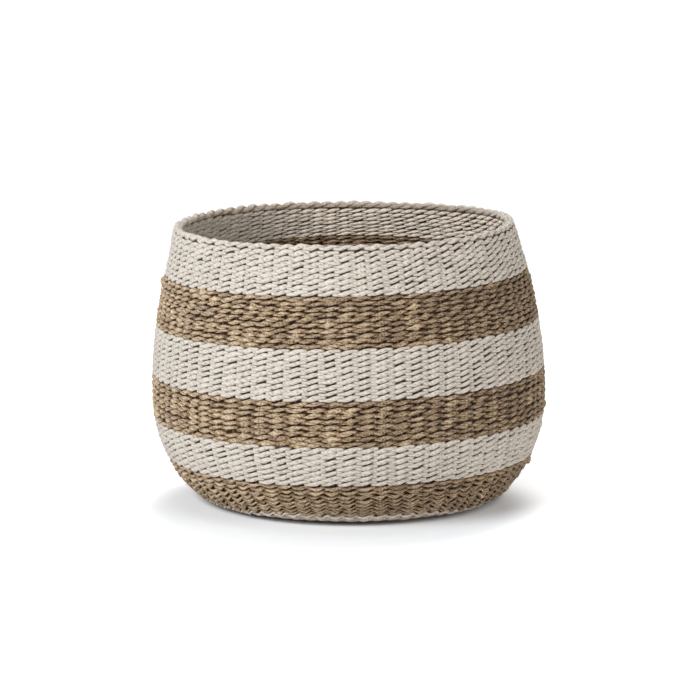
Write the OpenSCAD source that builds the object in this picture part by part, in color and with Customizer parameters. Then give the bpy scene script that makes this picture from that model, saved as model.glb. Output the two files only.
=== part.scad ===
// Round woven basket: twined cord wefts on upright stakes, with a bellied wall and a corded border.
// The origin is on the floor, at the centre of the base. +Z points up.

/* [Wall shape] */
// Outside diameter at the belly, the widest place
belly_d = 442; // [400:1:560]
// Height of the belly above the floor
belly_z = 117; // [100:1:135]
// Radius of the wall's curve, seen from the side, below the belly
lower_curve_r = 160; // [136:1:190]
// Radius of the wall's curve above the belly
upper_curve_r = 545; // [400:5:900]
// Radius of the turn from the base into the wall
corner_r = 22; // [16:1:32]

/* [Rounds of weaving] */
// Distance from one round of twining to the next, in the base and up to the foot round
round_pitch = 6.2; // [5.1:0.1:7.3]
// Radius of a round's swelling, as a share of the distance to the next round
round_swell = 0.56; // [0.52:0.01:0.6]
// Thickness of the wall over its rounds
wall_t = 10.4; // [9:0.1:13]
// Rounds in the flat base
base_rounds = 23; // [18:1:23]
// Rounds that turn the base up into the wall
upsett_rounds = 2; // [2:1:5]
// Rounds in each colour band, from the lowest to the highest
band_rounds = [9, 7, 8, 9, 10, 8]; // [5:1:12]
// Distance from one round to the next in each colour band
band_pitches = [6, 6.5, 6.2, 6.1, 5.6, 6.2]; // [5.1:0.1:7.3]
// How far the base's rounds are pressed flat where they stand on the floor
settle = 0.2; // [0.1:0.05:0.4]

/* [Stakes] */
// Upright stakes in the wall: 36, or 72 with the second set
stake_count = 72; // [36:36:72]
// Thickness of a stake or a base stick, through the weaving
stake_t = 2.4; // [1.6:0.1:3]
// Width of a stake or a base stick, along the weaving
stake_w = 2.6; // [1.6:0.1:3.2]
// Clearance between a stake and the cord on each side of it
stake_gap = 0.2; // [0.1:0.05:0.4]

/* [Base sticks] */
// Radius at which the weaving starts, round the crossed sticks
slath_r = 10.4; // [10:0.2:16]
// Distance between neighbouring sticks in the cross
stick_pitch = 3.2; // [3:0.1:4]
// Length of a base stick, from the centre to its end
stick_reach = 144; // [100:1:148]
// Distance from a base stick's end to the start of the second stakes
second_gap = 3; // [1:0.5:6]
// Thickness of a threaded stick inside a slit
threaded_t = 0.8; // [0.5:0.1:1.2]
// Height of the slit in a pierced stick
slit_t = 1.1; // [0.9:0.1:1.5]

/* [Border and foot round] */
// Height of the border, along the wall
border_h = 7; // [6.2:0.2:10]
// Thickness of a border cord, through the wall
border_cord_t = 4.2; // [3:0.1:5]
// Thickness of a foot cord, through the wall
foot_cord_t = 3.7; // [3:0.1:4.4]
// Half the width of a cord, as a share of its round's height
cord_width = 0.46; // [0.42:0.01:0.48]

/* [Hidden] */

WHITE = [0.86, 0.82, 0.76];
NATURAL = [0.60, 0.48, 0.35];
STAKE = [0.66, 0.56, 0.44];
$fn = 180;

// ---- The wall's middle surface, as arcs that run into each other ----
half_t = wall_t / 2;
belly_r = belly_d / 2;
lower_x = belly_r - lower_curve_r;
upper_x = belly_r - upper_curve_r;
corner_z = corner_r - settle;
corner_x = lower_x + sqrt(pow(lower_curve_r - corner_r, 2) - pow(belly_z - corner_z, 2));
corner_end = -asin((belly_z - corner_z) / (lower_curve_r - corner_r));
corner_mid_r = corner_r - half_t;
lower_mid_r = lower_curve_r - half_t;
upper_mid_r = upper_curve_r - half_t;
base_mid_z = half_t - settle;

// Distances along the middle surface, from the basket's axis
s_corner = corner_x;
s_lower = s_corner + corner_mid_r * (corner_end + 90) * PI / 180;
s_belly = s_lower + lower_mid_r * -corner_end * PI / 180;
s_upsett = slath_r + base_rounds * round_pitch;
s_foot = s_upsett + upsett_rounds * round_pitch;
s_bands = s_foot + round_pitch;
band_heights = [for (i = [0 : len(band_rounds) - 1]) band_rounds[i] * band_pitches[i]];
s_top = s_bands + sum_to(band_heights, len(band_heights));

// Slack at each end of a length of weaving, and between two cords that cross
seam = 0.05;
cord_gap = 0.2;
foot_h = round_pitch - 2 * seam;
s_foot_mid = s_foot + round_pitch / 2;
s_border_mid = s_top + seam + border_h / 2;
s_stake_end = s_border_mid + border_h / 4;
// How far a cut runs past the face that it cuts
over = 1;
// Outward cover that contains every round, and the depth at which the cord stops short of a stake
cover = half_t + over;
channel = stake_t / 2 + stake_gap;

// Directions of the base sticks' ends, and the radius at which they have fanned out from the cross
stick_angle = 20;
fan_r = 19;
// How far each stick stays straight past the middle of the last one it crosses, as a share of their distance
cross_margin = 0.7;
// Each set of stakes goes round in even steps, and the first set stands a quarter of a stick's step from the sticks
set_count = 36;
set_step = 360 / set_count;
first_angle = stick_angle / 4;
// Where the stakes are pushed in: the first beside the sticks, past this round, and the second past the sticks' ends
first_start_round = 11;
first_start = slath_r + first_start_round * round_pitch;
second_start = stick_reach + second_gap;

// Sum of the first n members of a list
function sum_to(v, n) = n <= 0 ? 0 : v[n - 1] + sum_to(v, n - 1);
function on_arc(x, z, r, a) = [x + r * cos(a), z + r * sin(a)];
function corner_a(s) = -90 + (s - s_corner) / corner_mid_r * 180 / PI;
function lower_a(s) = corner_end + (s - s_lower) / lower_mid_r * 180 / PI;
function upper_a(s) = (s - s_belly) / upper_mid_r * 180 / PI;

// [radius, height] of the point s along the middle surface and n outward from it
function wall_point(s, n) =
    s < s_corner ? [s, base_mid_z - n] :
    s < s_lower ? on_arc(corner_x, corner_z, corner_mid_r + n, corner_a(s)) :
    s < s_belly ? on_arc(lower_x, belly_z, lower_mid_r + n, lower_a(s)) :
    on_arc(upper_x, belly_z, upper_mid_r + n, upper_a(s));

// Where outlines bend as they follow the wall, between s0 and s1
function split(s0, s1, parts) = [for (i = [0 : parts - 1]) s0 + (s1 - s0) * i / parts];
bends = [each split(s_corner, s_lower, 4), each split(s_lower, s_belly, 11), each split(s_belly, s_stake_end, 9)];
function stations(s0, s1) = [s0, for (s = bends) if (s > s0 + 0.5 && s < s1 - 0.5) s, s1];

// Half-section of the wall's zone from s0 to s1 along it, and from n0 to n1 outward
module wall_zone(s0, s1, n0, n1) {
    along = stations(s0, s1);
    last = len(along) - 1;
    polygon([
        for (s = along) wall_point(s, n1),
        for (i = [last : -1 : 0]) wall_point(along[i], n0)
    ]);
}

// ---- Weaving ----
// Half-section of one face of the weaving: side is 1 outside the stakes and -1 inside them
module face_section(s0, rounds, pitch, side) {
    s1 = s0 + rounds * pitch;
    round_r = pitch * round_swell;
    intersection() {
        union() for (i = [0 : rounds - 1])
            translate(wall_point(s0 + (i + 0.5) * pitch, side * (half_t - round_r)))
                circle(round_r, $fn = 48);
        if (side > 0) wall_zone(s0 + seam, s1 - seam, channel, cover);
        else wall_zone(s0 + seam, s1 - seam, -cover, -channel);
    }
}

// A run of twined rounds: the cord that shows outside the stakes and the cord that shows inside them
module weaving(s0, rounds, pitch) {
    rotate_extrude() intersection() {
        face_section(s0, rounds, pitch, 1);
        above_floor();
    }
    rotate_extrude() face_section(s0, rounds, pitch, -1);
}

// Half-section of the room above the floor, where the base's rounds are pressed flat
module above_floor() {
    square([belly_r + over, s_top]);
}

module band(i, colour) {
    color(colour) weaving(s_bands + sum_to(band_heights, i), band_rounds[i], band_pitches[i]);
}

module base_weave() {
    color(WHITE) weaving(slath_r, base_rounds, round_pitch);
}

module upsett_weave() {
    color(WHITE) weaving(s_upsett, upsett_rounds, round_pitch);
}

// ---- Corded rounds: two cords that change places between one stake and the next ----
sides = 6;
// Each ring of points: its place, from 0 at one stake to 1 at the next, and how far the pair has turned there
turns = [[-0.11, 0], [0.11, 0], [0.3, 48], [0.5, 90], [0.7, 132]];

// One cord's outline, as [distance outward, distance up the wall], in a round h high whose pair has turned by q
function cord_outline(h, t, q) =
    let (
        past_stake = channel + cord_gap + t / 2,
        past_cord = h / 4,
        from_middle = 1 / norm([cos(q) / past_stake, sin(q) / past_cord]),
        half_cord_t = min(t / 2, from_middle - cord_gap / 2)
    ) [
        for (k = [0 : sides - 1])
            let (
                a = 360 * (k + 0.5) / sides,
                u = from_middle + half_cord_t * cos(a) / cos(180 / sides),
                v = cord_width * h * sin(a)
            ) [u * cos(q) - v * sin(q), max(-h / 2, min(h / 2, u * sin(q) + v * cos(q)))]
    ];

// The cord that is outside the first stake when start is 0, and inside it when start is 180
module cord(s, h, t, start) {
    rings = [
        for (i = [0 : stake_count - 1], turn = turns)
            [(i + turn[0]) * 360 / stake_count + first_angle, i * 180 + turn[1]]
    ];
    points = [
        for (ring = rings, p = cord_outline(h, t, ring[1] + start))
            let (w = wall_point(s + p[1], p[0])) [w[0] * cos(ring[0]), w[0] * sin(ring[0]), w[1]]
    ];
    count = len(rings);
    faces = [
        for (i = [0 : count - 1], k = [0 : sides - 1])
            let (
                i0 = i * sides,
                i1 = (i + 1) % count * sides,
                m = (k + 1) % sides
            )
            each [[i0 + k, i1 + k, i1 + m], [i0 + k, i1 + m, i0 + m]]
    ];
    polyhedron(points, faces);
}

module border_cord(start) {
    color(WHITE) cord(s_border_mid, border_h, border_cord_t, start);
}
module foot_cord(start) {
    color(WHITE) cord(s_foot_mid, foot_h, foot_cord_t, start);
}

// ---- Stakes: strips that run out along the base and up inside the wall, to their ends in the border ----
module stake_ring(s0, angle) {
    color(STAKE) for (i = [0 : set_count - 1])
        rotate([90, 0, angle + i * set_step])
            linear_extrude(stake_w, center = true)
                wall_zone(s0, s_stake_end, -stake_t / 2, stake_t / 2);
}

module stakes_first() { stake_ring(first_start, first_angle); }
module stakes_second() {
    if (stake_count > set_count) stake_ring(second_start, first_angle + set_step / 2);
}

// ---- Base sticks: two sets that cross in the middle, one threaded through the other ----
module strip_between(p, q) {
    d = q - p;
    translate(p) rotate(atan2(d[1], d[0])) translate([0, -stake_w / 2]) square([norm(d) + stake_w / 2, stake_w]);
}

// Seen from above: a stick's end, from the cross at p through its bend and out in the direction a
module stick_end(p, a) {
    translate(p) circle(d = stake_w, $fn = 24);
    strip_between(p, on_arc(0, 0, fan_r, a));
    rotate(a) translate([fan_r, -stake_w / 2]) square([stick_reach - fan_r, stake_w]);
}

// A stick at the offset y in a cross over so many others, with its two ends turned to the angles a and 180 - a
module stick(others, y, a) {
    half_cross = ((others - 1) / 2 + cross_margin) * stick_pitch;
    translate([0, 0, base_mid_z - stake_t / 2]) linear_extrude(stake_t) {
        translate([-half_cross, y - stake_w / 2]) square([2 * half_cross, stake_w]);
        stick_end([half_cross, y], a);
        stick_end([-half_cross, y], 180 - a);
    }
}

// Five sticks side by side, each with slits that the other four pass through
module base_sticks_pierced() {
    color(STAKE) for (k = [-2 : 2])
        difference() {
            stick(4, k * stick_pitch, k * stick_angle);
            for (m = [-1.5 : 1.5])
                translate([m * stick_pitch, k * stick_pitch, base_mid_z])
                    cube([stake_w + 2 * stake_gap, stake_w + over, slit_t], center = true);
        }
}

// Four sticks that are thinned where they pass through the slits
module base_sticks_threaded() {
    thinned = 4 * stick_pitch + stake_w + 2 * stake_gap;
    color(STAKE) for (k = [-1.5 : 1.5])
        rotate([0, 0, 90]) difference() {
            stick(5, k * stick_pitch, k * stick_angle);
            for (side = [-1, 1])
                translate([0, k * stick_pitch, base_mid_z + side * (threaded_t + stake_t) / 2])
                    cube([thinned, stake_w + over, stake_t], center = true);
        }
}

base_sticks_pierced();
base_sticks_threaded();
stakes_first();
stakes_second();
base_weave();
upsett_weave();
foot_cord(0);  // foot_cord_a
foot_cord(180);  // foot_cord_b
band(0, NATURAL);  // band_1_natural
band(1, WHITE);  // band_2_white
band(2, NATURAL);  // band_3_natural
band(3, WHITE);  // band_4_white
band(4, NATURAL);  // band_5_natural
band(5, WHITE);  // band_6_white
border_cord(0);  // border_cord_a
border_cord(180);  // border_cord_b
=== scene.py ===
"""Woven storage basket: twined over hidden stakes, in light and natural bands, with a corded border."""
import math

import bpy
import numpy as np
from bpy.props import FloatProperty, FloatVectorProperty, IntProperty, IntVectorProperty, PointerProperty
from bpy.types import Operator, Panel, PropertyGroup
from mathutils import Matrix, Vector


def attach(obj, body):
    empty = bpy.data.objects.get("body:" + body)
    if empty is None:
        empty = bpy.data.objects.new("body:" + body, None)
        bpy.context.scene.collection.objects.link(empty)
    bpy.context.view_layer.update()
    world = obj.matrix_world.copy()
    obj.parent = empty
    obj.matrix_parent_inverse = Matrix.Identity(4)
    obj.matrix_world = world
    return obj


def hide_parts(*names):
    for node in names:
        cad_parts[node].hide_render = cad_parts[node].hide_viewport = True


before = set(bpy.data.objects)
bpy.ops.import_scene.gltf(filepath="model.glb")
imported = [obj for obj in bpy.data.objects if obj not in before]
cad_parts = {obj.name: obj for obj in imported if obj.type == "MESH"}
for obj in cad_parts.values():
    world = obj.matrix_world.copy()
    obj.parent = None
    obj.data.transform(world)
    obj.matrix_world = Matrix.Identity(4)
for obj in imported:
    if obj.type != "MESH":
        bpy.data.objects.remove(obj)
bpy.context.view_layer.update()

bl_info = {
    "name": "Woven Storage Basket",
    "version": (1, 0, 0),
    "blender": (4, 5, 0),
    "location": "3D View > Sidebar > Basket",
    "description": "Builds a round twined basket strand by strand, over the stakes and sticks of its frame",
    "category": "Add Mesh",
}

MM = 0.001


# ---- Sizes and colours that a user may change ----

LENGTH = {"subtype": "DISTANCE", "unit": "LENGTH"}
ANGLE = {"subtype": "ANGLE", "unit": "ROTATION"}
COLOUR = {"subtype": "COLOR", "size": 3, "min": 0.0, "max": 1.0}


class BasketShape(PropertyGroup):
    """The wall's middle surface, seen from the side, and the lean that hand work gives it"""
    belly_radius: FloatProperty(
        name="Belly Radius", description="Outside radius at the widest place", default=0.221, min=0.2,
        max=0.28, **LENGTH)
    belly_height: FloatProperty(
        name="Belly Height", description="Height of the widest place", default=0.117, min=0.1, max=0.135,
        **LENGTH)
    lower_curve: FloatProperty(
        name="Lower Curve", description="Radius of the wall's curve below the belly", default=0.16,
        min=0.136, max=0.19, **LENGTH)
    upper_curve: FloatProperty(
        name="Upper Curve", description="Radius of the wall's curve above the belly", default=0.545,
        min=0.4, max=0.9, **LENGTH)
    corner: FloatProperty(
        name="Corner", description="Radius of the turn from base to wall", default=0.022, min=0.016,
        max=0.032, **LENGTH)
    wall: FloatProperty(
        name="Wall Thickness", description="Thickness over the strands", default=0.0104, min=0.009,
        max=0.013, **LENGTH)
    settle: FloatProperty(
        name="Settle", description="How far the base's rounds are pressed flat", default=0.0002, min=0.0001,
        max=0.0004, **LENGTH)
    lean_start: FloatProperty(
        name="Lean", description="Tilt that the wall would reach if it kept leaning as it does at the foot",
        default=math.radians(4.3), **ANGLE)
    lean_back: FloatProperty(
        name="Lean Back", description="How much of that tilt is taken back towards the rim",
        default=math.radians(3.3), **ANGLE)
    open_sides: FloatProperty(
        name="Open Sides", description="How far the rim opens at its two sides", default=0.003, **LENGTH)
    drawn_in: FloatProperty(
        name="Drawn In", description="How far the back of the rim is drawn in", default=0.007, **LENGTH)
    front_dip: FloatProperty(
        name="Front Dip", description="How far the front of the rim dips", default=0.002, **LENGTH)
    foot_rise: FloatProperty(
        name="Foot Rise", description="How far the foot round rises up the wall at the front",
        default=0.002, **LENGTH)
    foot_lift: FloatProperty(
        name="Foot Lift", description="How far the edge of the base stands off the floor", default=0.0032,
        min=0.0, max=0.006, **LENGTH)
    foot_slip: FloatProperty(
        name="Foot Slip",
        description="How far the foot round slips down the wall at the sides and the back", default=0.007,
        **LENGTH)
    ride_up: FloatProperty(
        name="Ride Up", description="How far the rounds below the rim ride up at the back", default=0.0105,
        **LENGTH)


class BasketWeave(PropertyGroup):
    """Rounds of twining, and the stakes that they pass"""
    pitch: FloatProperty(
        name="Round Pitch", description="Distance between rounds in the base and up to the foot round",
        default=0.0062, min=0.0051, max=0.0073, **LENGTH)
    slath: FloatProperty(
        name="First Round", description="Radius at which weaving starts on the base", default=0.0104,
        min=0.01, max=0.016, **LENGTH)
    base_rounds: IntProperty(
        name="Base Rounds", description="Rounds in the flat base", default=23, min=18, max=23)
    upsett_rounds: IntProperty(
        name="Upsett Rounds", description="Rounds that turn the base into the wall", default=3, min=2,
        max=5)
    band_rounds: IntVectorProperty(
        name="Band Rounds", description="Rounds in each colour band, from the lowest", size=6,
        default=(8, 7, 8, 9, 10, 8))
    band_pitches: FloatVectorProperty(
        name="Band Pitches", description="Distance between rounds in each colour band, in metres", size=6,
        precision=4, default=(0.006, 0.0065, 0.0062, 0.0061, 0.0056, 0.0062))
    stakes: IntProperty(name="Stakes", description="Upright stakes in the wall", default=72, min=36, max=72)
    stake: FloatProperty(
        name="Stake Thickness", description="Thickness of a stake through the wall", default=0.0024,
        min=0.0016, max=0.003, **LENGTH)
    border_height: FloatProperty(
        name="Border Height", description="Height of the border along the wall", default=0.007, min=0.0062,
        max=0.01, **LENGTH)
    colour_change: FloatProperty(
        name="Colour Change",
        description="Share of a turn, from the front, at which the top natural band's last strands give "
        "way to light ones", default=0.27, min=0.1, max=0.45)
    unevenness: FloatProperty(
        name="Unevenness", description="How much one stitch differs from the next", subtype="FACTOR",
        default=1.0, min=0.0, max=2.0)
    hang: FloatProperty(
        name="Hang",
        description="How far the lowest stitches sag below their ends where the wall turns under",
        default=0.0036, min=0.0, max=0.005, **LENGTH)
    seed: IntProperty(name="Seed", description="Picks one of many uneven weavings", default=7, min=0)


class BasketColours(PropertyGroup):
    """Colours of the strands"""
    white: FloatVectorProperty(
        name="White Twine", description="Main colour of the light strands", default=(0.655, 0.6, 0.532),
        **COLOUR)
    white_warm: FloatVectorProperty(
        name="White Twine, Warm", description="Warmer patches of the light strands",
        default=(0.58, 0.50, 0.42), **COLOUR)
    straw: FloatVectorProperty(
        name="Straw", description="Lightest natural stitches", default=(0.685, 0.525, 0.365), **COLOUR)
    tan: FloatVectorProperty(
        name="Tan", description="Most natural stitches", default=(0.415, 0.297, 0.18), **COLOUR)
    taupe: FloatVectorProperty(
        name="Taupe", description="Darkest natural stitches", default=(0.165, 0.106, 0.062), **COLOUR)
    # Darker than bare cane: the stakes show only in the gaps, so this colour is partly painted shade there.
    stake: FloatVectorProperty(
        name="Stake", description="Cane of the stakes and sticks", default=(0.19, 0.125, 0.07), **COLOUR)


class BasketStage(PropertyGroup):
    """Camera, lamps and floor"""
    distance: FloatProperty(
        name="Camera Distance", description="From the camera to the point it looks at", default=3.596,
        min=1.0, **LENGTH)
    look_height: FloatProperty(
        name="Look Height", description="Height of the point that the camera looks at", default=0.1639,
        **LENGTH)
    pitch: FloatProperty(
        name="Camera Pitch", description="How far the camera looks down", default=math.radians(9.76),
        **ANGLE)
    lens: FloatProperty(name="Lens", description="Focal length in millimetres", default=164.6, min=20.0)
    key: FloatProperty(
        name="Key Lamp", description="Power of the front left lamp", subtype="POWER", default=106.0)
    key_colour: FloatVectorProperty(
        name="Key Colour", description="Colour of the front left lamp", default=(0.9, 0.95, 1.0), **COLOUR)
    fill: FloatProperty(
        name="Fill Lamp", description="Power of the right lamp", subtype="POWER", default=31.0)
    top: FloatProperty(
        name="Top Lamp", description="Power of the lamp overhead", subtype="POWER", default=14.0)
    back: FloatProperty(
        name="Back Lamp", description="Power of the lamp behind", subtype="POWER", default=20.0)
    room: FloatProperty(name="Room Light", description="Strength of the light from all round", default=0.15)
    floor_lift: FloatProperty(
        name="Floor Lift", description="Light added to the floor beside the basket as the camera sees it",
        default=0.135, min=0.0)
    floor_white: FloatProperty(
        name="Floor White", description="Light added to the open floor as the camera sees it", default=0.62,
        min=0.0)
    shadow_middle: FloatVectorProperty(
        name="Shadow Middle",
        description="Point that the shadow's distances are measured from, across and along", size=2,
        default=(-0.017, -0.08))
    contact: FloatProperty(
        name="Contact", description="Distance from the axis within which the floor keeps its full shadow",
        default=0.163, **LENGTH)
    shadow_start: FloatProperty(
        name="Shadow Start", description="Distance at which the shadow begins to fade", default=0.183,
        min=0.1, **LENGTH)
    shadow_reach: FloatProperty(
        name="Shadow Reach", description="Distance at which the floor is white", default=0.252, min=0.2,
        **LENGTH)


# ---- The wall's shape ----

# Where an effect on the wall starts, and over how much more it grows to its full strength
FOOT_FRONT = (0.7, 0.25)  # cosine of the angle from the front
BASE_EDGE = (0.11, 0.05)  # metres from the axis
UPPER_WALL = (0.75, 0.25)  # share of the basket's height, as in the next two
RIM = (0.88, 0.12)
LOWER_WALL = (0.0, 0.8)
FOOT_SPREAD = 25 * MM  # how far up and down the wall the foot round takes its neighbours along
LIFT_HEIGHT = 15 * MM  # height over which the lift of the base's edge fades
RIM_SHIFT = 1.5 * MM  # how far the rim stands to the left
FLOOR_GAP = 0.1 * MM
BORDER_GAP = 0.05 * MM
# Rise of the rim in millimetres: what goes with the cosine and the sine of 0, 1, 2 and 3 times the turn
WARP = ((0.7, 0.0), (-0.5, -0.4), (0.1, 0.25), (0.6, -0.7))


def blend(a, b, part):
    return a * (1 - part) + b * part


def smooth(value):
    """0 below 0, 1 above 1, and a smooth step between."""
    value = np.clip(value, 0, 1)
    return value * value * (3 - 2 * value)


def eased(value, start, span):
    """0 below start, 1 from start + span on, and a smooth step between."""
    return smooth((value - start) / span)


def even_turns(count):
    return 2 * math.pi * np.arange(count) / count


def around(values, place):
    """Values given at each stake, eased from one stake to the next at a place counted in stakes."""
    low = np.floor(place).astype(int)
    count = len(values)
    return blend(values[low % count], values[(low + 1) % count], smooth(place - low))


class Wall:
    """The wall's middle surface as a line base, a corner arc and two wall arcs that run into each other.

    A place on it is s, the distance from the basket's axis along that line, and n, the distance outward.
    """

    def __init__(self, shape, weave):
        self.shape = shape
        half = shape.wall / 2
        self.half = half
        self.lower_x = shape.belly_radius - shape.lower_curve
        self.upper_x = shape.belly_radius - shape.upper_curve
        self.belly_z = shape.belly_height
        self.corner_z = shape.corner - shape.settle
        reach = shape.lower_curve - shape.corner
        drop = self.belly_z - self.corner_z
        self.corner_x = self.lower_x + math.sqrt(reach ** 2 - drop ** 2)
        self.corner_end = -math.asin(drop / reach)
        self.corner_r = shape.corner - half
        self.lower_r = shape.lower_curve - half
        self.upper_r = shape.upper_curve - half
        self.base_z = half - shape.settle
        self.s_lower = self.corner_x + self.corner_r * (self.corner_end + math.pi / 2)
        self.s_belly = self.s_lower - self.lower_r * self.corner_end
        self.s_upsett = weave.slath + weave.base_rounds * weave.pitch
        self.s_foot = self.s_upsett + weave.upsett_rounds * weave.pitch
        self.s_bands = self.s_foot + weave.pitch
        heights = [rounds * pitch for rounds, pitch in zip(weave.band_rounds, weave.band_pitches)]
        self.edges = self.s_bands + np.cumsum([0.0, *heights])
        self.top = self.profile(self.edges[-1] + weave.border_height, 0.0)[1]
        self.s_border = self.edges[-1] + BORDER_GAP + weave.border_height / 2

    def profile(self, s, n):
        """Radius and height at s and n: flat, then round each arc by the angle that s has run along it."""
        s, n = np.broadcast_arrays(s, n)
        corner = -math.pi / 2 + (s - self.corner_x) / self.corner_r
        lower = self.corner_end + (s - self.s_lower) / self.lower_r
        upper = (s - self.s_belly) / self.upper_r
        zones = [s < self.corner_x, s < self.s_lower, s < self.s_belly]
        r = np.select(zones, [s, self.corner_x + (self.corner_r + n) * np.cos(corner),
                              self.lower_x + (self.lower_r + n) * np.cos(lower)],
                      self.upper_x + (self.upper_r + n) * np.cos(upper))
        z = np.select(zones, [self.base_z - n, self.corner_z + (self.corner_r + n) * np.sin(corner),
                              self.belly_z + (self.lower_r + n) * np.sin(lower)],
                      self.belly_z + (self.upper_r + n) * np.sin(upper))
        return r, z

    def place(self, s, n, turn):
        """Points at s, n and the angle turn from the front, with the basket's lean and slight warp.

        The foot round and the rounds beside it rise at the front and slip down the wall elsewhere, and the
        edge of the base is lifted off the floor.
        The rim opens a little at its sides, dips at the front and is drawn in at the back, where the rounds
        ride up.
        The lean is a tilt about the front to back axis that grows with height and then eases.
        The warp lifts and lowers the rim by one, two and three slow waves round it.
        """
        shape, height = self.shape, self.top
        front = eased(np.cos(turn), *FOOT_FRONT)
        near = np.exp(-((s - self.s_bands) / FOOT_SPREAD) ** 2)
        r, z = self.profile(s + (shape.foot_rise * front - shape.foot_slip * (1 - front)) * near, n)
        z = z + shape.foot_lift * eased(r, *BASE_EDGE) * np.exp(-(z / LIFT_HEIGHT) ** 2)
        t = z / height
        side, back = np.sin(turn) ** 2, np.maximum(-np.cos(turn), 0) ** 2
        upper, rim = eased(t, *UPPER_WALL), eased(t, *RIM)
        r = r + shape.open_sides * side * rim - shape.drawn_in * back * upper
        z = z + shape.ride_up * back * (1 - upper) * eased(t, *LOWER_WALL)
        z = z - shape.front_dip * np.maximum(np.cos(turn), 0) ** 2 * upper
        x, y = r * np.sin(turn) - RIM_SHIFT * rim, -r * np.cos(turn)
        a, b = shape.lean_start, shape.lean_back
        tilt = a * t - b * t ** 2
        shift = -height * (a * t ** 2 / 2 - b * t ** 3 / 3)
        warp = sum(c * np.cos(k * turn) + d * np.sin(k * turn) for k, (c, d) in enumerate(WARP))
        z = z + tilt * x + warp * MM * t ** 2
        return np.stack([x + shift, y, np.maximum(z, FLOOR_GAP)], axis=-1)


def shape_of(context):
    scene = context.scene
    return Wall(scene.basket_shape, scene.basket_weave), scene.basket_weave


# ---- Meshes ----

def store(items, field, values, kind):
    items.foreach_set(field, np.ascontiguousarray(values, dtype=kind).ravel())


def make_piece(name, points, quads, uvs=None, stitch=None):
    """A smooth mesh from arrays of points and quads, with an optional UV map and stitch attribute."""
    mesh = bpy.data.meshes.new(name)
    count = len(quads)
    mesh.vertices.add(len(points))
    store(mesh.vertices, "co", points, np.float32)
    mesh.loops.add(4 * count)
    store(mesh.loops, "vertex_index", quads, np.int32)
    mesh.polygons.add(count)
    store(mesh.polygons, "loop_start", 4 * np.arange(count), np.int32)
    mesh.update(calc_edges=True)
    store(mesh.polygons, "use_smooth", np.ones(count), bool)
    if uvs is not None:
        store(mesh.uv_layers.new(name="strand").data, "uv", uvs, np.float32)
    if stitch is not None:
        layer = mesh.color_attributes.new("stitch", "FLOAT_COLOR", "POINT")
        store(layer.data, "color", stitch, np.float32)
    mesh.validate()
    piece = bpy.data.objects.new(name, mesh)
    bpy.context.scene.collection.objects.link(piece)
    return piece


def loop_quads(rings, sides):
    """Quads of a closed ring of closed outlines: each joins a point to the next round and the next along.

    The last ones, as many as there are sides, join the last outline to the first.
    """
    i, k = np.meshgrid(np.arange(rings), np.arange(sides), indexing="ij")
    j, m = (i + 1) % rings, (k + 1) % sides
    return np.stack([i * sides + k, j * sides + k, j * sides + m, i * sides + m], axis=-1).reshape(-1, 4)


def loop_uvs(lengths, sides):
    """UVs of those quads: u is the length along the strand, and v goes once round it without a wrap."""
    rings = len(lengths) - 1
    i, k = np.meshgrid(np.arange(rings), np.arange(sides), indexing="ij")
    corners = [(i, k), (i + 1, k), (i + 1, k + 1), (i, k + 1)]
    return np.stack([np.stack([lengths[a], b / sides], axis=-1) for a, b in corners], axis=2).reshape(-1, 2)


class Strands:
    """Collects closed strands, and makes one piece of them."""

    def __init__(self):
        self.points, self.quads, self.uvs, self.stitch, self.count = [], [], [], [], 0

    def add(self, points, lengths, stitch, stretch=None):
        """Adds a closed loop, or the stretch from one ring to another with each end drawn to a point."""
        rings, sides = points.shape[:2]
        joins = rings
        if stretch:
            order = np.arange(*stretch) % rings
            points, stitch = points[order], stitch[order]
            points[[0, -1]] = points[[0, -1]].mean(axis=1, keepdims=True)
            lengths = lengths[0] + (lengths[1] - lengths[0]) * np.arange(stretch[0], stretch[1] + 1)
            rings, joins = len(order), len(order) - 1
        self.points.append(points.reshape(-1, 3))
        self.quads.append(loop_quads(rings, sides)[:joins * sides] + self.count)
        self.uvs.append(loop_uvs(lengths, sides)[:joins * sides * 4])
        self.stitch.append(stitch.reshape(-1, 4))
        self.count += rings * sides

    def add_core(self, wall, s0, s1):
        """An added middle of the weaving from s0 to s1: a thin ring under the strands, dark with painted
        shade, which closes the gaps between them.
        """
        rings, rows, half = 144, 12, 0.5 * MM
        # A depth of 0.1, so the materials paint this ring in deep shade.
        deep = (0.5, 0.5, 0.1, 0.5)
        along = np.linspace(s0, s1, rows)
        s = np.concatenate([along, along[::-1]])
        n = np.repeat([half, -half], rows)
        turns = even_turns(rings)[:, None]
        points = wall.place(s + 0 * turns, n + 0 * turns, turns + 0 * s)
        self.add(points, np.arange(rings + 1) * (10 * MM), np.broadcast_to(deep, (rings, 2 * rows, 4)))

    def piece(self, name):
        parts = (self.points, self.quads, self.uvs, self.stitch)
        return make_piece(name, *(np.concatenate(part) for part in parts))


# ---- Twining ----

SWELL = 0.2 * MM  # usual change from stitch to stitch in thickness
DRIFT = 0.26 * MM  # usual change in place up and down
NARROWEST, WIDEST = 0.75, 1.3  # limits of a stitch's width, against the usual one
KNOT_SIZES = (0.5, 1.3)
KNOT_SWELL = 2.1 * MM  # what a knot of size 1 adds to the thickness
KNOT_WIDTH = 0.75  # what it adds to the width, against the usual one
KNOT_TONE = 0.2  # how much lighter it is
PARTNER_START = 0.37  # how far the second strand's fibres are moved along from the first one's


def outer_face(q, style):
    """How far outward a strand's face lies, q stakes from the stake that it passes outside.

    It keeps near the wall's face past the stake and across its partner, then drops behind the next stake.
    """
    q = np.abs(q)
    face = style["face"] - style["dip"] * smooth(2 * q)
    behind = -style["channel"]
    return behind + (face - behind) * smooth((style["drop"] + style["steep"] - q) / (2 * style["steep"]))


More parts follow.
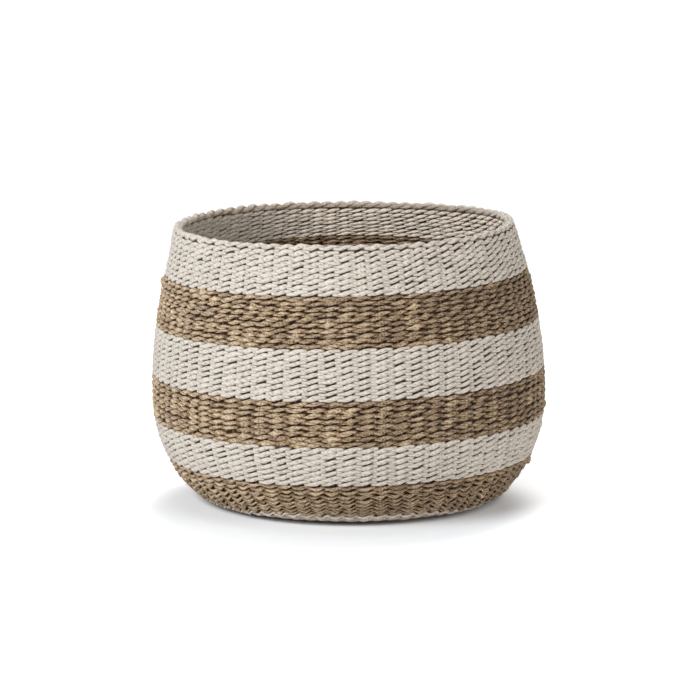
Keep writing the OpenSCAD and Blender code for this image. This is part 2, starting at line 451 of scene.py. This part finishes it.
def twine_round(out, wall, s_mid, height, turns, rng, style, stretch=None):
    """One round of two strands that change places between one stake and the next.

    Each strand runs out past a stake and rises over its partner, then runs in past the next stake and sinks
    under its partner: its height in the round is a sine of its place, and its two faces follow outer_face
    and its mirror image. A hanging round also sags at each stake and lifts between two.
    Its section is a rounded box between those faces. Over a stake it is as high as its own width, so that a
    gap stays open to the next round, and a loose round opens it further on the right. Between stakes it is
    lower, and leans on the strand of the next round.
    Each stitch gets its own size, place and tone, and some swell into knots. Painted light can make the tones
    lighter on the left and darker on the right.
    A stretch, as its first and last stake, leaves the rest of the round open.
    """
    stakes = len(turns)
    per, sides = style["rings"], style["sides"]
    step = np.arange(stakes * per) / per
    low = np.floor(step).astype(int)
    gaps = np.diff(np.append(turns, turns[0] + 2 * math.pi))
    azimuth = turns[low] + (step - low) * gaps[low]
    outline = 2 * math.pi * (np.arange(sides) + 0.5) / sides
    cos, sin = np.cos(outline), np.sin(outline)
    radius = wall.profile(s_mid, 0.0)[0]
    lengths = np.append(step, stakes) / stakes * 2 * math.pi * radius
    uneven = style["uneven"]
    tone_start = rng.uniform(0, 1)
    slip = rng.normal(0, 1)
    for strand in (0, 1):
        thicker, wider, higher, _, further = rng.normal(0, 1, (stakes, 5)).T
        further = further + style["slip"] * slip
        big = (rng.uniform(0, 1, stakes) < style["knots"]) * rng.uniform(*KNOT_SIZES, stakes)
        q = np.mod(step + strand + style["shuffle"] * around(further, step) + 1, 2) - 1
        over = np.cos(math.pi * q) ** 2
        knot = around(big, step) * over ** 7
        swell = around(uneven * SWELL * thicker, step) + KNOT_SWELL * knot
        wide = around(np.clip(1 + uneven * style["vary"] * wider, NARROWEST, WIDEST), step)
        wide = wide + KNOT_WIDTH * knot
        outer = outer_face(q, style) + swell * (np.abs(q) < 0.5)
        inner = -outer_face(1 - np.abs(q), style) - swell * (np.abs(q) >= 0.5)
        half_w = height * blend(style["low"], style["width"], over) * wide
        half_w = half_w * (1 - style["loose"] * np.sin(azimuth))
        middle = style["climb"] * height * np.sin(math.pi * q) * (1 + style["lean"] * np.cos(math.pi * q))
        middle = middle - style["hang"] * (over - 0.5) + around(uneven * DRIFT * higher, step)
        square = blend(style["square"], style["round"], over)[:, None]
        rough = 1 + style["rough"] * rng.normal(0, 1, (stakes * per, sides))
        box_n = np.sign(cos) * np.abs(cos) ** square * rough
        box_s = np.sign(sin) * np.abs(sin) ** square * rough * (1 - style["taper"] * smooth(-box_n))
        across = ((outer + inner) / 2)[:, None] + ((outer - inner) / 2)[:, None] * box_n
        along = middle[:, None] + half_w[:, None] * box_s
        points = wall.place(s_mid + along, across, azimuth[:, None] + 0 * along)
        # Painted light: the tone is raised on the left, towards the key lamp, and lowered on the right.
        tone = rng.beta(*style["tone"], stakes) + KNOT_TONE * big - style["bleached"] * np.sin(turns)
        slow = 0.5 + 0.5 * np.sin(2 * math.pi * (tone_start + step / stakes * 3 + 0.13 * strand)
                                  + 2 * around(rng.normal(0, 0.6, stakes), step))
        # Depth, from the middle to the face, sets how much painted shade the materials give a point; the open
        # top of the border is kept out of that shade.
        depth = np.maximum(np.abs(across) / wall.half, style["open_top"] * (0.5 + along / height))
        # Painted shade on the inner side at the back and the sides, by lowering the depth.
        depth = depth * (1 - style["dull_back"] * smooth(0.3 - np.cos(azimuth))[:, None]
                         * smooth(0.8 - across / wall.half))
        # Painted light on the inner side, growing from the middle towards the right.
        pale = style["pale_inside"] * eased(np.sin(azimuth), -0.75, 0.75)
        same = np.ones(sides)
        stitch = np.stack([around(np.clip(tone, 0, 1), step)[:, None] * same, slow[:, None] * same, depth,
                           pale[:, None] * smooth(0.5 - across / wall.half)], axis=-1)
        out.add(points, lengths + strand * PARTNER_START, stitch,
                stretch and (per * stretch[0], per * stretch[1] + 1))


def style_for(weave, wall, kind):
    """How a kind of cord lies, from how many rings and sides it is drawn with to how it is coloured.

    Lengths: channel is the stake's half that it keeps clear of, face how far out it lies and dip how much
    less beside the stake, and hang its sag. Shares of the space between stakes: drop and steep say where
    and how fast it goes behind the next stake, and shuffle and slip how far its stitches are out of place.
    Shares of the round's height: width and low are its half widths over and between stakes, climb its rise
    and lean how that rise is skewed. Square and round are its section's squareness in the same two places,
    taper narrows its hidden side, and loose narrows it on the right of the basket.
    Uneven, vary, rough and knots say how much the stitches differ, tone how their tones are spread, and
    bleached how much painted light lifts them on the left and lowers them on the right. Open_top is 1 where
    its top is in the open, which keeps the painted shade off it, pale_inside paints light on its inner side
    from the middle to the right, and dull_back paints shade on its inner side at the back.
    """
    common = dict(rings=8, sides=8, channel=weave.stake / 2 + 0.1 * MM, face=wall.half, dip=0.9 * MM,
                  drop=0.74, steep=0.15, width=0.465, low=0.3, climb=0.275, lean=0.2, square=0.55,
                  round=0.85, uneven=1.3 * weave.unevenness, vary=0.1, shuffle=0.03, slip=0.0, knots=0.0,
                  tone=(4, 4), rough=0.035, open_top=0.0, taper=0.18, bleached=0.0, hang=0.0, loose=0.06,
                  pale_inside=1.0, dull_back=0.0)
    if kind in ("natural", "bottom"):
        common.update(uneven=1.9 * weave.unevenness, vary=0.09, shuffle=0.06, slip=1.6, knots=0.05,
                      tone=(1.3, 1.5), dip=1.4 * MM, width=0.46, low=0.29, climb=0.19, lean=0.1, square=0.65,
                      round=0.85, rough=0.08, drop=0.68, steep=0.18, bleached=0.5)
    if kind == "bottom":
        common.update(width=0.42)
    if kind == "border":
        common.update(rings=12, sides=12, uneven=1.5 * weave.unevenness, face=wall.half - 0.2 * MM,
                      width=0.38, low=0.27, climb=0.18, lean=0.6, square=0.75, round=1.0, drop=0.7,
                      steep=0.2, open_top=1.0, channel=0.2 * MM, pale_inside=0.0, dull_back=0.42)
    if kind == "foot":
        common.update(rings=12, sides=12, uneven=1.2 * weave.unevenness, face=wall.half + 1.0 * MM,
                      width=0.36, low=0.22, climb=0.2, lean=0.4, square=0.7, round=0.95, drop=0.7, steep=0.2,
                      hang=weave.hang)
    if kind == "base":
        common.update(rings=6, loose=0.0)
    return common


# ---- Materials ----

DRY_SHINE = 0.25  # specular level of dry fibre, against 0.5 for most surfaces


def link(tree, source, target):
    tree.links.new(source, target)


def set_inputs(node, **values):
    """Sets sockets by their names, with a space for each underscore."""
    for name, value in values.items():
        node.inputs[name.replace("_", " ")].default_value = value


def add_math(tree, operation, a, b=None):
    node = tree.nodes.new("ShaderNodeMath")
    node.operation = operation
    for socket, value in zip(node.inputs, (a, b)):
        if value is None:
            continue
        if isinstance(value, (int, float)):
            socket.default_value = value
        else:
            link(tree, value, socket)
    return node.outputs[0]


def plus(tree, a, b):
    return add_math(tree, "ADD", a, b)


def times(tree, a, b):
    return add_math(tree, "MULTIPLY", a, b)


def add_mix(tree, factor, a, b, mode="MIX"):
    node = tree.nodes.new("ShaderNodeMix")
    node.data_type = "RGBA"
    node.blend_type = mode
    for socket, value in ((node.inputs[0], factor), (node.inputs[6], a), (node.inputs[7], b)):
        if isinstance(value, (int, float)):
            socket.default_value = value
        elif isinstance(value, bpy.types.NodeSocket):
            link(tree, value, socket)
        else:
            socket.default_value = (*value, 1.0)
    return node.outputs[2]


def multiply(tree, colour, shade, factor=1.0):
    return add_mix(tree, factor, colour, shade, "MULTIPLY")


def add_ramp(tree, factor, stops):
    node = tree.nodes.new("ShaderNodeValToRGB")
    ramp = node.color_ramp
    while len(ramp.elements) < len(stops):
        ramp.elements.new(0.5)
    for element, (place, colour) in zip(ramp.elements, stops):
        element.position = place
        element.color = (*colour, 1.0)
    link(tree, factor, node.inputs[0])
    return node.outputs[0]


def add_noise(tree, vector, scale, **settings):
    node = tree.nodes.new("ShaderNodeTexNoise")
    set_inputs(node, Scale=scale, **settings)
    link(tree, vector, node.inputs["Vector"])
    return node.outputs["Fac"]


def add_range(tree, value, low, high, to_low=0.0, to_high=1.0, easing="SMOOTHSTEP"):
    """A value between low and high, carried over to between to_low and to_high."""
    node = tree.nodes.new("ShaderNodeMapRange")
    node.interpolation_type = easing
    link(tree, value, node.inputs["Value"])
    set_inputs(node, From_Min=low, From_Max=high, To_Min=to_low, To_Max=to_high)
    return node.outputs["Result"]


def add_group(tree, group, **values):
    node = tree.nodes.new("ShaderNodeGroup")
    node.node_tree = group
    set_inputs(node, **values)
    return node


def add_bump(tree, height, strength, distance, shader):
    bump = tree.nodes.new("ShaderNodeBump")
    set_inputs(bump, Strength=strength, Distance=distance)
    link(tree, height, bump.inputs["Height"])
    link(tree, bump.outputs[0], shader.inputs["Normal"])


def object_place(tree):
    return tree.nodes.new("ShaderNodeTexCoord").outputs["Object"]


def split_vector(tree, vector):
    node = tree.nodes.new("ShaderNodeSeparateXYZ")
    link(tree, vector, node.inputs[0])
    return node.outputs


def fibre_group():
    """Fibres, plies and patches of a twine.

    Fibre is noise drawn out along u and tight across v, turned with the twist. Groove is the size of a sine
    of v and u, so it falls to 0 between two plies, and the fibres make it wander. Patch is noise in the
    object's own space.
    """
    name = "Strand Fibres"
    if name in bpy.data.node_groups:
        return bpy.data.node_groups[name]
    tree = bpy.data.node_groups.new(name, "ShaderNodeTree")
    for title, value in (("Along", 90.0), ("Across", 14.0), ("Twist", 30.0), ("Plies", 3.0), ("Lay", 45.0)):
        socket = tree.interface.new_socket(title, in_out="INPUT", socket_type="NodeSocketFloat")
        socket.default_value = value
    for title in ("Fibre", "Groove", "Patch"):
        tree.interface.new_socket(title, in_out="OUTPUT", socket_type="NodeSocketFloat")
    inputs = tree.nodes.new("NodeGroupInput").outputs
    outputs = tree.nodes.new("NodeGroupOutput").inputs
    uv = tree.nodes.new("ShaderNodeUVMap")
    uv.uv_map = "strand"
    u, v, _ = split_vector(tree, uv.outputs[0])

    turned = plus(tree, v, times(tree, u, inputs["Twist"]))
    joined = tree.nodes.new("ShaderNodeCombineXYZ")
    link(tree, times(tree, u, inputs["Along"]), joined.inputs[0])
    link(tree, times(tree, turned, inputs["Across"]), joined.inputs[1])
    fibre = add_noise(tree, joined.outputs[0], 1.0, Detail=2.0, Roughness=0.6)
    link(tree, fibre, outputs["Fibre"])

    wander = times(tree, fibre, 0.35)
    laid = plus(tree, times(tree, v, inputs["Plies"]), times(tree, u, inputs["Lay"]))
    wave = add_math(tree, "SINE", times(tree, plus(tree, laid, wander), math.pi))
    link(tree, add_math(tree, "ABSOLUTE", wave), outputs["Groove"])
    link(tree, add_noise(tree, object_place(tree), 38.0, Detail=4.0), outputs["Patch"])
    return tree


def new_material(name, roughness, sheen=0.0):
    material = bpy.data.materials.new(name)
    material.use_nodes = True
    tree = material.node_tree
    shader = tree.nodes["Principled BSDF"]
    set_inputs(shader, Roughness=roughness, Sheen_Weight=sheen, Specular_IOR_Level=DRY_SHINE)
    return material, tree, shader


def stitch_values(tree):
    """Tone of each stitch, depth from the wall's middle to its face, which the materials turn into painted
    shade, and 1 where light is painted on its inner side.

    The attribute's second value, a slow drift round the basket, isn't used by these materials.
    """
    node = tree.nodes.new("ShaderNodeAttribute")
    node.attribute_name = "stitch"
    split = tree.nodes.new("ShaderNodeSeparateColor")
    link(tree, node.outputs["Color"], split.inputs[0])
    return split.outputs[0], split.outputs[2], node.outputs["Alpha"]


def foot_shade(tree):
    """Darker brown in the lowest few millimetres: painted shade where the twine meets the floor, easing
    through a warmer tone to the twine's own colour.

    The ramp's places are heights in centimetres.
    """
    height = split_vector(tree, object_place(tree))[2]
    return add_ramp(tree, times(tree, height, 100.0), [
        (0.36, (0.12, 0.08, 0.05)), (0.5, (0.80, 0.72, 0.62)), (0.9, (1.0, 0.98, 0.95))])


def white_twine(colours, name="White Twine", shaded_foot=False):
    """Off-white paper-like twine: fine lengthwise fibres, warmer patches, and a tone for each stitch, with
    painted shade where it lies deep in the weave and painted light on its inner side towards the right.
    """
    if name in bpy.data.materials:
        return bpy.data.materials[name]
    material, tree, shader = new_material(name, 0.82, 0.15)
    tone, depth, inside = stitch_values(tree)
    fibres = add_group(tree, fibre_group(), Along=240.0, Across=9.0, Twist=28.0).outputs
    warm = times(tree, plus(tree, tone, fibres["Patch"]), 0.42)
    colour = add_mix(tree, warm, colours.white, colours.white_warm)
    shade = add_ramp(tree, fibres["Fibre"], [
        (0.38, (0.58, 0.53, 0.47)), (0.46, (0.94, 0.93, 0.91)), (0.62, (1.14, 1.14, 1.13))])
    colour = multiply(tree, colour, shade, 0.8)
    # Painted shade: both ramps darken the twine the deeper it lies in the weave. The inner one, used where
    # light is painted on the inner side, also paints its faces up to half as bright again.
    outer = add_ramp(tree, depth, [
        (0.15, (0.18, 0.12, 0.08)), (0.46, (0.62, 0.55, 0.47)), (0.7, (1.0, 1.0, 1.0))])
    inner = add_ramp(tree, depth, [
        (0.25, (0.17, 0.11, 0.07)), (0.58, (0.64, 0.54, 0.45)), (0.82, (1.45, 1.42, 1.38))])
    colour = multiply(tree, colour, add_mix(tree, inside, outer, inner))
    # Painted shade towards the floor.
    if shaded_foot:
        colour = multiply(tree, colour, foot_shade(tree))
    link(tree, colour, shader.inputs["Base Color"])
    add_bump(tree, fibres["Fibre"], 1.0, 1.6 * MM, shader)
    return material


def natural_twine(colours, name="Natural Twine"):
    """Grass twine: plies with painted shade in the grooves between them, streaks from straw through tan to
    taupe, and painted shade in the gaps of the weave.
    """
    if name in bpy.data.materials:
        return bpy.data.materials[name]
    material, tree, shader = new_material(name, 0.78, 0.1)
    tone, depth, _ = stitch_values(tree)
    fibres = add_group(tree, fibre_group(), Along=420.0, Across=8.0, Twist=34.0, Plies=3.0, Lay=60.0).outputs
    spread = add_range(tree, fibres["Fibre"], 0.37, 0.63, easing="LINEAR")
    mixed = plus(tree, times(tree, tone, 0.38), times(tree, spread, 0.62))
    colour = add_ramp(tree, mixed, [(0.12, colours.taupe), (0.5, colours.tan), (0.88, colours.straw)])
    shade = add_ramp(tree, fibres["Patch"], [(0.3, (0.78, 0.74, 0.71)), (0.65, (1.1, 1.08, 1.02))])
    colour = multiply(tree, colour, shade, 0.7)
    # Painted shade in the grooves between the plies.
    groove = add_ramp(tree, fibres["Groove"], [(0.05, (0.42, 0.37, 0.33)), (0.4, (1.0, 1.0, 1.0))])
    colour = multiply(tree, colour, groove)
    # Painted shade in the gaps: darker the deeper the twine lies in the weave.
    gaps = add_ramp(tree, depth, [
        (0.3, (0.11, 0.062, 0.028)), (0.6, (0.60, 0.50, 0.40)), (0.8, (1.0, 1.0, 1.0))])
    colour = multiply(tree, colour, gaps)
    link(tree, colour, shader.inputs["Base Color"])
    relief = plus(tree, times(tree, fibres["Groove"], 0.6), fibres["Fibre"])
    add_bump(tree, relief, 1.0, 1.6 * MM, shader)
    return material


def cane(colours, name="Bare Cane"):
    """Cane of the stakes and sticks: a close grain of noise, with darker flecks."""
    if name in bpy.data.materials:
        return bpy.data.materials[name]
    material, tree, shader = new_material(name, 0.6)
    grain = add_noise(tree, object_place(tree), 260.0, Detail=5.0)
    dark = tuple(0.5 * part for part in colours.stake)
    colour = add_ramp(tree, grain, [(0.35, dark), (0.6, colours.stake)])
    link(tree, colour, shader.inputs["Base Color"])
    add_bump(tree, grain, 0.4, 0.3 * MM, shader)
    return material


def loose_fibre(colours, name="Loose Fibre"):
    """Single fibres, from tan to straw."""
    material, tree, shader = new_material(name, 0.7)
    noise = add_noise(tree, object_place(tree), 60.0)
    colour = add_ramp(tree, noise, [(0.4, colours.tan), (0.6, colours.straw)])
    link(tree, colour, shader.inputs["Base Color"])
    return material


# ---- Pieces ----

STICK_ENDS = 18  # ends of the crossed base sticks
CROSS_ROUNDS = 11  # base rounds that pass only the sticks, before the first stakes begin
STAKE_SET = 36  # stakes in each of the two sets
FIRST_STAKE_TURN = math.radians(5)
SECOND_STAKE_START = 0.147  # metres from the axis
# What each operator adds to a hundred times the seed; a band adds its index
BORDER_DRAWS, FOOT_DRAWS, BASE_DRAWS, FIBRE_DRAWS = 20, 30, 40, 50


def draws(weave, number):
    return np.random.default_rng(weave.seed * 100 + number)


def finish_piece(piece, material, slot, *nodes):
    piece.data.materials.append(material)
    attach(piece, "root")
    if nodes:
        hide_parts(*nodes)


class BASKET_OT_bands(Operator):
    """Twine the six colour bands of the wall, the top natural one with a half round more at the back"""
    bl_idname = "basket.bands"
    bl_label = "Colour Bands"

    def execute(self, context):
        wall, weave = shape_of(context)
        colours = context.scene.basket_colours
        wander = np.random.default_rng(weave.seed)
        phase = wander.uniform(0, 2 * math.pi, (weave.stakes, 2))
        carry = round(weave.stakes * weave.colour_change)
        last = len(weave.band_rounds) - 1
        for index, rounds in enumerate(weave.band_rounds):
            natural = index % 2 == 0
            name = f"band_{index + 1}_{'natural' if natural else 'white'}"
            rng = draws(weave, index)
            strands = Strands()
            style = style_for(weave, wall, "bottom" if index == 0 else "natural" if natural else "white")
            for count in range(rounds + (index == last - 1)):
                ahead = count == rounds
                pitch = weave.band_pitches[index + ahead]
                mid = wall.edges[index + ahead] + (count + 0.5 - ahead * rounds) * pitch
                sway = (0.012 * np.sin(mid / 0.03 + phase[:, 0])
                        + 0.006 * np.sin(mid / 0.021 + phase[:, 1]))
                turns = even_turns(weave.stakes) + 0.5 * weave.unevenness * sway
                if index == 0:
                    style["hang"] = weave.hang * (1 - (count / rounds) ** 2)
                stretch = None
                if ahead:
                    stretch = (carry, weave.stakes - carry)
                elif index == last and count == 0:
                    stretch = (weave.stakes - carry, weave.stakes + carry)
                twine_round(strands, wall, mid, pitch, turns, rng, style, stretch)
            strands.add_core(wall, wall.edges[index] - 0.2 * MM, wall.edges[index + 1] + 0.2 * MM)
            material = natural_twine(colours) if natural else white_twine(colours)
            slot = "natural_cord" if natural else "white_cord"
            finish_piece(strands.piece(f"{name}_strands"), material, slot, name)
        return {"FINISHED"}


class BASKET_OT_border(Operator):
    """Twine the thicker border round along the rim"""
    bl_idname = "basket.border"
    bl_label = "Border"

    def execute(self, context):
        wall, weave = shape_of(context)
        strands = Strands()
        twine_round(strands, wall, wall.s_border, weave.border_height, even_turns(weave.stakes),
                    draws(weave, BORDER_DRAWS), style_for(weave, wall, "border"))
        material = white_twine(context.scene.basket_colours)
        finish_piece(strands.piece("border_strands"), material, "border_cord",
                     "border_cord_a", "border_cord_b")
        return {"FINISHED"}


class BASKET_OT_foot(Operator):
    """Twine the light round at the edge of the base"""
    bl_idname = "basket.foot"
    bl_label = "Foot Round"

    def execute(self, context):
        wall, weave = shape_of(context)
        strands = Strands()
        twine_round(strands, wall, wall.s_foot + weave.pitch / 2, weave.pitch, even_turns(weave.stakes),
                    draws(weave, FOOT_DRAWS), style_for(weave, wall, "foot"))
        # This material paints shade towards the floor.
        material = white_twine(context.scene.basket_colours, "Foot Twine", True)
        finish_piece(strands.piece("foot_strands"), material, "white_cord", "foot_cord_a", "foot_cord_b")
        return {"FINISHED"}


class BASKET_OT_base(Operator):
    """Twine the base from the crossed sticks outward, and the rounds that turn it up into the wall"""
    bl_idname = "basket.base"
    bl_label = "Base"

    def execute(self, context):
        wall, weave = shape_of(context)
        colours = context.scene.basket_colours
        sticks = even_turns(STICK_ENDS)
        first = np.sort(np.concatenate([sticks, even_turns(STAKE_SET) + FIRST_STAKE_TURN]))
        rng = draws(weave, BASE_DRAWS)
        style = style_for(weave, wall, "base")
        s = weave.slath
        strands = Strands()
        for index in range(weave.base_rounds + weave.upsett_rounds):
            if index == weave.base_rounds:
                strands.add_core(wall, weave.slath + 1 * MM, s)
                finish_piece(strands.piece("base_strands"), white_twine(colours), "white_cord", "base_weave")
                strands = Strands()
            if index < CROSS_ROUNDS:
                turns = sticks
            elif index < weave.base_rounds - 1:
                turns = first
            else:
                turns = even_turns(weave.stakes)
            twine_round(strands, wall, s + weave.pitch / 2, weave.pitch, turns + math.pi / 2, rng, style)
            s += weave.pitch
        strands.add_core(wall, wall.s_upsett, wall.s_bands)
        # This material paints shade towards the floor.
        material = white_twine(colours, "Foot Twine", True)
        finish_piece(strands.piece("upsett_strands"), material, "white_cord", "upsett_weave")
        return {"FINISHED"}


def stake_piece(wall, weave, name, start, turns):
    """Stakes as strips: an oval carried along the wall's middle line from start to under the border."""
    sides, rings = 6, 48
    half_width, half_depth = 1.3 * MM, 1.15 * MM
    s = np.linspace(start, wall.s_border - 0.4 * weave.border_height, rings)[:, None]
    outline = 2 * math.pi * np.arange(sides) / sides
    across = half_width * np.sin(outline) / wall.profile(s, 0.0)[0]
    depth = half_depth * np.cos(outline) + 0 * across
    side = loop_quads(rings, sides)[:-sides, [0, 3, 2, 1]]
    last = (rings - 1) * sides
    caps = [[3, 2, 1, 0], [5, 4, 3, 0],
            [last, last + 1, last + 2, last + 3], [last, last + 3, last + 4, last + 5]]
    points, quads = [], []
    for count, turn in enumerate(turns):
        points.append(wall.place(s + 0 * across, depth, turn + across).reshape(-1, 3))
        quads.append(np.concatenate([side, caps]) + count * rings * sides)
    return make_piece(name, np.concatenate(points), np.concatenate(quads))


class BASKET_OT_stakes(Operator):
    """Make the two sets of stakes that the wall is woven on"""
    bl_idname = "basket.stakes"
    bl_label = "Stakes"

    def execute(self, context):
        wall, weave = shape_of(context)
        material = cane(context.scene.basket_colours)
        first_start = weave.slath + CROSS_ROUNDS * weave.pitch
        sets = (("stakes_first", first_start, FIRST_STAKE_TURN), ("stakes_second", SECOND_STAKE_START, 0.0))
        for name, start, turn in sets:
            piece = stake_piece(wall, weave, f"{name}_canes", start, even_turns(STAKE_SET) + turn)
            finish_piece(piece, material, "stake", name)
        return {"FINISHED"}


class BASKET_OT_sticks(Operator):
    """Give the crossed base sticks their cane"""
    bl_idname = "basket.sticks"
    bl_label = "Base Sticks"

    def execute(self, context):
        material = cane(context.scene.basket_colours)
        for name in ("base_sticks_pierced", "base_sticks_threaded"):
            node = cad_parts[name]
            node.data.materials.clear()
            node.data.materials.append(material)
        return {"FINISHED"}


class BASKET_OT_fibres(Operator):
    """Add the loose fibre ends that stand off the natural bands"""
    bl_idname = "basket.fibres"
    bl_label = "Loose Fibres"

    def execute(self, context):
        wall, weave = shape_of(context)
        rng = draws(weave, FIBRE_DRAWS)
        fibres, rings, sides = 420, 7, 3
        rooted = wall.half - 0.8 * MM
        t = np.linspace(0, 1, rings)
        outline = 2 * math.pi * np.arange(sides) / sides
        side = loop_quads(rings, sides)[:-sides]
        points, quads = [], []
        for count in range(fibres):
            band = rng.choice([0, 2, 4])
            s0 = rng.uniform(wall.edges[band], wall.edges[band + 1])
            turn0 = rng.uniform(0, 2 * math.pi)
            length = rng.uniform(4, 16) * MM
            heading = rng.normal(0.3, 0.5) + (math.pi if rng.uniform() < 0.3 else 0)
            lift = rng.uniform(0.4, 3.2) * MM
            bend = rng.normal(0, 0.8)
            along = length * t
            s = s0 + along * np.sin(heading + bend * t)
            radius = float(wall.profile(s0, wall.half)[0])
            turn = turn0 + along * np.cos(heading + bend * t) / radius
            n = rooted + lift * np.sin(t * rng.uniform(1.2, 2.4)) ** 1.2
            thick = rng.uniform(0.10, 0.2) * MM * (1.05 - t)
            grid_n = n[:, None] + thick[:, None] * np.cos(outline)
            grid_s = s[:, None] + thick[:, None] * np.sin(outline)
            points.append(wall.place(grid_s, grid_n, turn[:, None] + 0 * grid_n).reshape(-1, 3))
            quads.append(side + count * rings * sides)
        piece = make_piece("loose_fibres", np.concatenate(points), np.concatenate(quads))
        finish_piece(piece, loose_fibre(context.scene.basket_colours), "natural_cord")
        return {"FINISHED"}


# ---- Stage ----

FLOOR_GREY = 0.86
FLOOR_REACH, FLOOR_BACK = 3.0, 1.6
ROOM_SEEN = 1.05  # strength of the room where the camera sees it
CONTACT_FADE = 15 * MM
LAMP_TARGET = (0, 0, 0.14)


def add_lamp(name, place, size, power, colour=(1, 1, 1)):
    data = bpy.data.lights.new(name, "AREA")
    data.shape = "DISK"
    data.size = size
    data.energy = power
    data.color = colour
    lamp = bpy.data.objects.new(name, data)
    lamp.location = place
    lamp.rotation_euler = (Vector(LAMP_TARGET) - Vector(place)).to_track_quat("-Z", "Y").to_euler()
    bpy.context.scene.collection.objects.link(lamp)


def seen_white(tree):
    """1 where a ray comes from the camera, or from a glossy or see-through surface."""
    path = tree.nodes.new("ShaderNodeLightPath")
    total = add_math(tree, "MAXIMUM", path.outputs["Is Camera Ray"], path.outputs["Is Glossy Ray"])
    return add_math(tree, "MAXIMUM", total, path.outputs["Is Transmission Ray"])


def distance_from(tree, point):
    node = tree.nodes.new("ShaderNodeVectorMath")
    node.operation = "DISTANCE"
    node.inputs[1].default_value = point
    link(tree, object_place(tree), node.inputs[0])
    return node.outputs["Value"]


def pale_floor(stage):
    """A matt floor, with light added as the camera sees it.

    The added light grows from floor_lift to floor_white with the distance from the shadow's middle, and is
    none under the basket.
    """
    material = bpy.data.materials.new("Pale Floor")
    material.use_nodes = True
    tree = material.node_tree
    shader = tree.nodes["Principled BSDF"]
    grey = (FLOOR_GREY, FLOOR_GREY, FLOOR_GREY, 1)
    set_inputs(shader, Base_Color=grey, Roughness=1.0, Specular_IOR_Level=0.0)
    away = add_range(tree, distance_from(tree, (*stage.shadow_middle, 0)), stage.shadow_start,
                     stage.shadow_reach, stage.floor_lift, stage.floor_white)
    clear = add_range(tree, distance_from(tree, (0, 0, 0)), stage.contact, stage.contact + CONTACT_FADE)
    glow = tree.nodes.new("ShaderNodeEmission")
    lift = times(tree, clear, away)
    link(tree, times(tree, seen_white(tree), lift), glow.inputs["Strength"])
    both = tree.nodes.new("ShaderNodeAddShader")
    link(tree, shader.outputs[0], both.inputs[0])
    link(tree, glow.outputs[0], both.inputs[1])
    link(tree, both.outputs[0], tree.nodes["Material Output"].inputs["Surface"])
    return material


def white_room(stage):
    """Faint light from all round, which looks white to the camera."""
    world = bpy.data.worlds.new("Room")
    world.use_nodes = True
    tree = world.node_tree
    back = tree.nodes["Background"]
    set_inputs(back, Color=(1, 1, 1, 1))
    more = times(tree, seen_white(tree), ROOM_SEEN - stage.room)
    link(tree, plus(tree, stage.room, more), back.inputs["Strength"])
    return world


class BASKET_OT_stage(Operator):
    """Set out the pale floor, the soft lamps and the camera"""
    bl_idname = "basket.stage"
    bl_label = "Stage"

    def execute(self, context):
        scene = context.scene
        stage = scene.basket_stage
        mesh = bpy.data.meshes.new("floor")
        reach, back = FLOOR_REACH, FLOOR_BACK
        mesh.from_pydata([(-reach, -reach, 0), (reach, -reach, 0), (reach, back, 0), (-reach, back, 0)],
                         [], [(0, 1, 2, 3)])
        mesh.materials.append(pale_floor(stage))
        floor = bpy.data.objects.new("floor", mesh)
        scene.collection.objects.link(floor)
        scene.world = white_room(stage)

        add_lamp("key", (-1.9, -2.0, 1.7), 2.2, stage.key, stage.key_colour)
        add_lamp("fill", (2.2, -1.4, 0.9), 1.6, stage.fill)
        add_lamp("top", (0, 0.2, 2.6), 1.8, stage.top)
        add_lamp("back", (0, 2.6, 1.2), 1.8, stage.back)

        data = bpy.data.cameras.new("camera")
        data.lens = stage.lens
        data.sensor_width = 36
        data.clip_end = 60
        camera = bpy.data.objects.new("camera", data)
        camera.location = (0, -stage.distance * math.cos(stage.pitch),
                           stage.look_height + stage.distance * math.sin(stage.pitch))
        camera.rotation_euler = (math.pi / 2 - stage.pitch, 0, 0)
        scene.collection.objects.link(camera)
        scene.camera = camera
        scene.view_settings.view_transform = "Standard"
        return {"FINISHED"}


OPERATORS = (BASKET_OT_bands, BASKET_OT_border, BASKET_OT_foot, BASKET_OT_base, BASKET_OT_stakes,
             BASKET_OT_sticks, BASKET_OT_fibres, BASKET_OT_stage)
GROUPS = {"basket_shape": BasketShape, "basket_weave": BasketWeave, "basket_colours": BasketColours,
          "basket_stage": BasketStage}


class BASKET_PT_panel(Panel):
    """Sizes, colours and the steps that build the basket"""
    bl_idname = "BASKET_PT_panel"
    bl_label = "Woven Basket"
    bl_space_type = "VIEW_3D"
    bl_region_type = "UI"
    bl_category = "Basket"

    def draw(self, context):
        for name, group in GROUPS.items():
            box = self.layout.box()
            for field in group.__annotations__:
                box.prop(getattr(context.scene, name), field)
        for operator in OPERATORS:
            self.layout.operator(operator.bl_idname)


def register():
    for group in GROUPS.values():
        bpy.utils.register_class(group)
    for operator in OPERATORS:
        bpy.utils.register_class(operator)
    bpy.utils.register_class(BASKET_PT_panel)
    for name, group in GROUPS.items():
        setattr(bpy.types.Scene, name, PointerProperty(type=group))


def unregister():
    for name in GROUPS:
        delattr(bpy.types.Scene, name)
    for cls in (BASKET_PT_panel, *reversed(OPERATORS), *reversed(list(GROUPS.values()))):
        bpy.utils.unregister_class(cls)


def main():
    register()
    for operator in OPERATORS:
        step = getattr(bpy.ops.basket, operator.bl_idname.split(".")[1])
        step()


if __name__ == "__main__":
    main()
